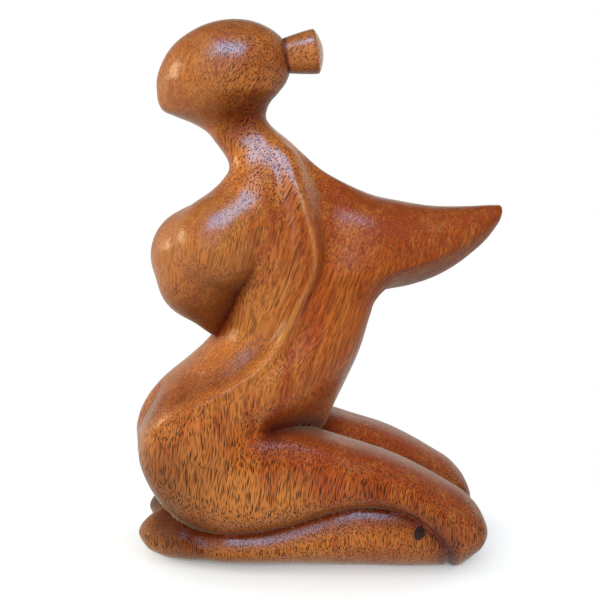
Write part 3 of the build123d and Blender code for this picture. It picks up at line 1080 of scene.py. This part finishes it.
# %% Figure wood, bun wood, plug wood and dowel wood
FIGURE_WOOD = polished_wood("figure_wood", marked=True)
BUN_WOOD = polished_wood(
    "bun_wood", marked=True, turn=(0.0, math.radians(-12), 0.0), shift=(31.0, 12.0, 40.0),
    Golden=(0.70, 0.24, 0.055, 1), Red_brown=(0.44, 0.10, 0.02, 1), Pore=(0.14, 0.05, 0.02, 1),
)
PLUG_WOOD = polished_wood(
    "plug_wood",
    Golden=(0.05, 0.018, 0.008, 1), Red_brown=(0.03, 0.010, 0.005, 1), Pore=(0.010, 0.004, 0.002, 1),
)
DOWEL_WOOD = polished_wood(
    "dowel_wood", turn=(0.0, math.pi / 2 - BUN_TILT, 0.0),
    Golden=(0.62, 0.42, 0.22, 1), Red_brown=(0.5, 0.31, 0.14, 1), Pore=(0.28, 0.16, 0.07, 1),
)
for piece, material in ((figure, FIGURE_WOOD), (bun, BUN_WOOD), (plug, PLUG_WOOD)):
    piece.data.materials.append(material)
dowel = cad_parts["bun_dowel"]
for place in dowel.material_slots:
    place.material = DOWEL_WOOD
print("finishes:", [m.name for m in (FIGURE_WOOD, BUN_WOOD, PLUG_WOOD, DOWEL_WOOD)])

# %% [markdown]
# ## Floor, light and surroundings
#
# The figure stands on a wide white sheet that runs up behind it. The floor
# gives a little light of its own to the camera, so that it reads as white
# while the shadow under the figure stays. A large cool window above and in
# front draws the long soft highlights, and a small warm lamp on the left
# picks out the brow and the breast.

# %% Floor
FLOOR_HALF = 1.5
FLOOR_BOUNCE = (0.36, 0.36, 0.36, 1)     # what it throws back at the figure
FLOOR_SEEN = (0.76, 0.86, 0.96, 1)       # what it shows of the light and the shadow on it
FLOOR_FAR = (0.08, 0.08, 0.08, 1)        # the same a hand's breadth further out
FLOOR_MIRRORED = 0.5                     # how white the polish sees it
FLOOR_GLOW = 0.70                        # what it adds to that in the open
CONTACT_REACH = 0.075                    # how near the figure must be to shade it
WHITE = (1, 1, 1, 1)


def in_polish(n, ray):
    """1 for what a mirror or a glass sees, from the outputs of a Light Path node."""
    return n.math("MAXIMUM", ray["Is Glossy Ray"], ray["Is Transmission Ray"])


def mixed(n, share, one, two):
    """One shader where the share is 0 and the other where it is 1."""
    return n.add("ShaderNodeMixShader", {0: share, 1: one.outputs[0], 2: two.outputs[0]})


def floor_material():
    """White paper that keeps the shadow near the figure, with a painted contact shadow in its glow, and
    turns clear further out.
    """
    material = bpy.data.materials.new("paper_floor")
    n = new_wiring(material)
    ray = n.add("ShaderNodeLightPath").outputs
    seen = ray["Is Camera Ray"]
    place = n.stretched(n.add("ShaderNodeTexCoord").outputs["Object"], 1.0, 1.5, 0.0)
    away = n.add("ShaderNodeVectorMath", {0: place}, operation="LENGTH").outputs["Value"]
    bounce = n.blend(n.ramp(away, 0.08, 0.24), FLOOR_BOUNCE, FLOOR_FAR)
    paper = n.add("ShaderNodeBsdfDiffuse", {"Color": bounce})
    lit_paper = n.add("ShaderNodeBsdfDiffuse", {"Color": FLOOR_SEEN})
    # painted shadow: the glow is cut where the figure hides the sky, so a soft contact shadow is painted
    # round its foot
    open_sky = n.add("ShaderNodeAmbientOcclusion", {"Distance": CONTACT_REACH}, samples=16).outputs["AO"]
    strength = n.ramp(open_sky, 0.0, 1.0, 0.1, FLOOR_GLOW, "LINEAR")
    glow = n.add("ShaderNodeEmission", {"Color": WHITE, "Strength": strength})
    lit = n.add("ShaderNodeAddShader", {0: lit_paper.outputs[0], 1: glow.outputs[0]})
    clear = n.add("ShaderNodeBsdfTransparent")
    near_and_far = mixed(n, n.times(n.ramp(away, 0.14, 0.24), seen), mixed(n, seen, paper, lit), clear)
    mirrored = n.add("ShaderNodeEmission", {"Color": WHITE, "Strength": FLOOR_MIRRORED})
    whole = mixed(n, in_polish(n, ray), near_and_far, mirrored)
    n.add("ShaderNodeOutputMaterial", {"Surface": whole.outputs[0]})
    return material


floor_corners = [(FLOOR_HALF * x, FLOOR_HALF * y, 0) for x, y in ((-1, -1), (1, -1), (1, 1), (-1, 1))]
floor_mesh = bpy.data.meshes.new("floor")
floor_mesh.from_pydata(floor_corners, [], [(0, 1, 2, 3)])
floor_mesh.materials.append(floor_material())
floor = bpy.data.objects.new("floor", floor_mesh)
bpy.context.scene.collection.objects.link(floor)
print("floor measures, m:", 2 * FLOOR_HALF)

# %% Lamps
LAMPS_LOOK_AT = Vector((0, 0, 0.15))


def lamp(name, azimuth, elevation, distance, size, radiance, colour, on_wood=True, on_polish=True):
    """A soft rectangular lamp that looks at the figure's middle.

    The azimuth is 0 towards the camera and grows to the right. The power of a
    rectangle that shines with a given radiance is pi * radiance * its area.
    """
    light = bpy.data.lights.new(name, "AREA")
    light.shape = "RECTANGLE"
    light.size, light.size_y = size
    light.energy = math.pi * radiance * size[0] * size[1]
    light.color = colour
    thing = bpy.data.objects.new(name, light)
    bpy.context.scene.collection.objects.link(thing)
    a, e = math.radians(azimuth), math.radians(elevation)
    way = Vector((math.sin(a) * math.cos(e), -math.cos(a) * math.cos(e), math.sin(e)))
    thing.location = LAMPS_LOOK_AT + way * distance
    thing.visible_diffuse = on_wood
    thing.visible_glossy = on_polish
    aim(thing, LAMPS_LOOK_AT)
    print(f"{name}: {light.energy:.2f} W")


lamp("window", -12, 55, 1.2, (0.70, 0.46), 11.8, (0.13, 0.54, 1.0), on_wood=False)
lamp("key", -16, 20, 1.5, (1.3, 0.9), 4.6, (1.0, 0.97, 0.92), on_polish=False)
lamp("side_lamp", -86, 20, 1.3, (0.40, 0.50), 7.0, (1.0, 0.80, 0.50))
lamp("side_wall", -114, 0, 1.3, (1.4, 0.9), 4.4, (1.0, 0.93, 0.80), on_polish=False)
lamp("fill", 60, 8, 1.5, (1.0, 0.8), 1.75, (1.0, 0.97, 0.92), on_polish=False)
lamp("back_wall", 115, 12, 1.4, (1.2, 0.9), 2.2, (1.0, 0.97, 0.92), on_polish=False)


# %% Surroundings
def surroundings():
    """A dim room. The camera sees a white backdrop, and the polish sees it behind the figure only."""
    world = bpy.data.worlds.new("surroundings")
    bpy.context.scene.world = world
    n = new_wiring(world)
    ray = n.add("ShaderNodeLightPath").outputs
    toward = n.apart(n.add("ShaderNodeTexCoord").outputs["Generated"])
    behind = n.times(
        in_polish(n, ray), n.ramp(toward["Y"], 0.0, 0.6), n.ramp(toward["X"], -0.4, 0.3, 0.25, 1.0),
        n.ramp(toward["Z"], 0.3, 0.8, 1.0, 0.0),
    )
    room = n.add("ShaderNodeBackground", {"Color": (1.0, 0.98, 0.94, 1), "Strength": 0.08})
    backdrop = n.add("ShaderNodeBackground", {"Color": WHITE, "Strength": 1.0})
    both = mixed(n, n.math("MAXIMUM", ray["Is Camera Ray"], behind), room, backdrop)
    n.add("ShaderNodeOutputWorld", {"Surface": both.outputs[0]})


surroundings()
bpy.context.scene.view_settings.view_transform = "Standard"
